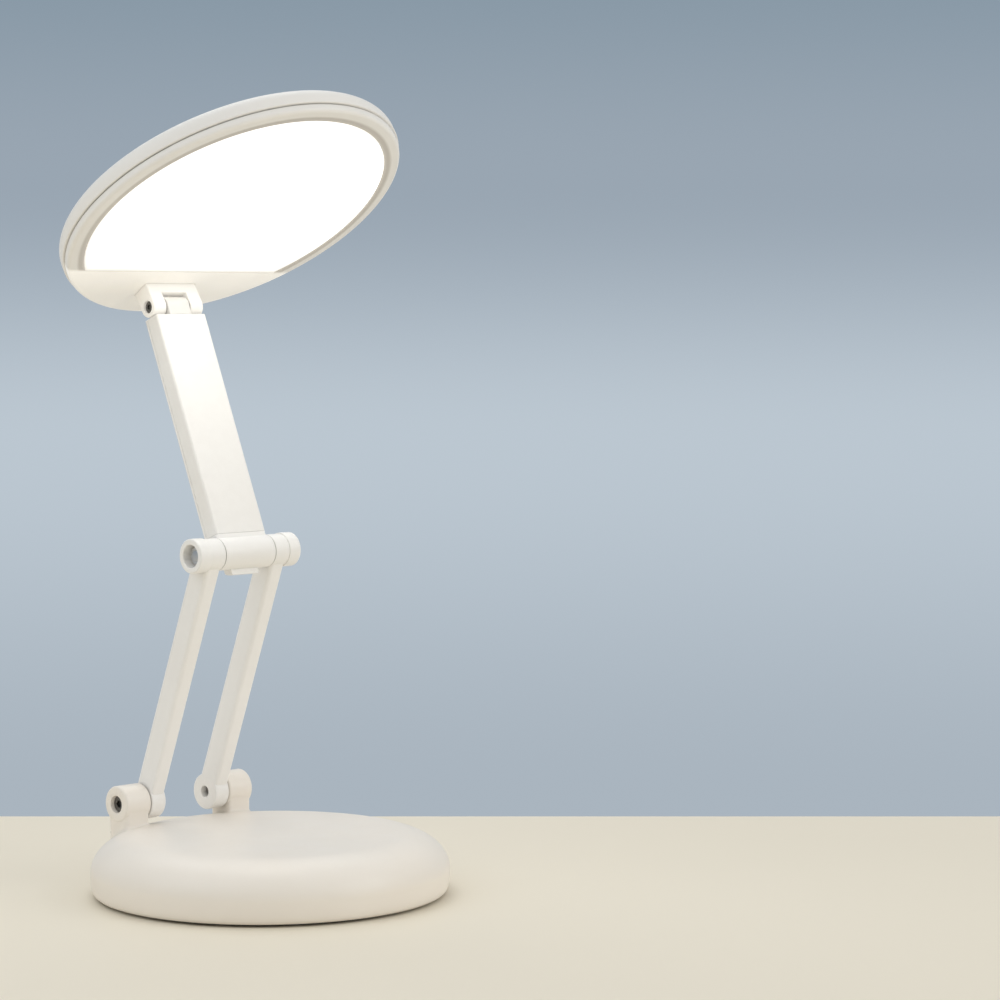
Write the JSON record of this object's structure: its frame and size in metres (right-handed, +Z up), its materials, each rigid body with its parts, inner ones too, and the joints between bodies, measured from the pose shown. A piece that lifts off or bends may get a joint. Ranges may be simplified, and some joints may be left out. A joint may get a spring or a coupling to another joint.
{
  "type": "folding LED desk lamp",
  "caption": "Small folding desk lamp: round weighted base, two-legged lower arm, flat upper arm and round flat light panel on friction hinges; folds into a flat puck.",
  "frame": {"origin": "centre of the base on the surface that it stands on", "axes": "+Z up; +X to the right, along all three hinges, seen from the front; -Y is the front, toward which the lamp's head reaches; the base hinge is at +Y"},
  "size_m": [0.12, 0.1299, 0.2655],
  "materials": {
    "ivory_plastic": "warm white satin moulded ABS",
    "foot_rubber": "soft dark grey silicone rubber",
    "steel": "zinc-plated steel",
    "battery_foil": "aluminium laminate pouch",
    "wire_insulation": "white PVC insulation",
    "circuit_board": "green solder mask on glass-epoxy board",
    "charge_light_guide": "clear moulded light pipe",
    "switch_metal": "stamped metal switch can",
    "lit_diffuser": "opal acrylic diffuser, lit from behind",
    "clear_plastic": "clear acrylic light guide",
    "white_film": "white reflector film",
    "led_phosphor": "yellow phosphor in clear resin"
  },
  "bodies": {
    "base": {"base_top_shell": "ivory_plastic", "base_bottom_cover": "ivory_plastic", "foot_ring": "foot_rubber", "counterweight": "steel", "battery_pack": "battery_foil", "battery_leads": "wire_insulation", "control_board": "circuit_board", "board_screws": "steel", "usb_c_socket": "steel", "charge_light": "charge_light_guide", "tact_switches": "switch_metal", "base_screws": "steel", "base_hinge_screws": "steel", "base_hinge_washers": "steel", "base_wire": "wire_insulation"},
    "power_button": {"power_button": "ivory_plastic"},
    "brightness_button": {"brightness_button": "ivory_plastic"},
    "lower_arm": {"left_leg": "ivory_plastic", "right_leg": "ivory_plastic", "left_leg_cover": "ivory_plastic", "right_leg_cover": "ivory_plastic", "leg_wire": "wire_insulation", "left_elbow_cap": "ivory_plastic", "right_elbow_cap": "ivory_plastic", "elbow_washers": "steel"},
    "elbow_shaft": {"elbow_shaft": "steel", "elbow_nuts": "steel"},
    "upper_arm": {"elbow_knuckle": "ivory_plastic", "upper_arm_front": "ivory_plastic", "upper_arm_back": "ivory_plastic", "arm_screws": "steel", "arm_wire": "wire_insulation", "head_tongue": "ivory_plastic"},
    "head": {"head_back_shell": "ivory_plastic", "head_front_ring": "ivory_plastic", "diffuser": "lit_diffuser", "light_guide": "clear_plastic", "reflector_sheet": "white_film", "led_board": "circuit_board", "leds": "led_phosphor", "head_hinge_block": "ivory_plastic", "head_hinge_pin": "steel", "head_hinge_washers": "steel", "hinge_block_screws": "steel", "head_wire": "wire_insulation"}
  },
  "joints": [
    {"name": "base_hinge", "type": "hinge", "parent": "base", "child": "lower_arm", "pos_m": [0, 0.0475, 0.0275], "axis": [-1, 0, 0], "range_deg": [-69, 21]},
    {"name": "elbow_hinge", "type": "hinge", "parent": "lower_arm", "child": "elbow_shaft", "pos_m": [0, 0.01453, 0.11339], "axis": [1, 0, 0], "range_deg": [-120, 31]},
    {"name": "elbow_end_fold", "type": "hinge", "parent": "elbow_shaft", "child": "upper_arm", "pos_m": [0, 0.01453, 0.11339], "axis": [1, 0, 0], "range_deg": [-16.2, 12.8]},
    {"name": "head_hinge", "type": "hinge", "parent": "upper_arm", "child": "head", "pos_m": [0, 0.04977, 0.19566], "axis": [-1, 0, 0], "range_deg": [-100.4, 79.6]},
    {"name": "power_press", "type": "slide", "parent": "base", "child": "power_button", "axis": [0, -1, 0], "range_m": [0, 0.0007], "stiffness_N_per_m": 1500},
    {"name": "brightness_press", "type": "slide", "parent": "base", "child": "brightness_button", "axis": [0, -1, 0], "range_m": [0, 0.0007], "stiffness_N_per_m": 1500}
  ]
}
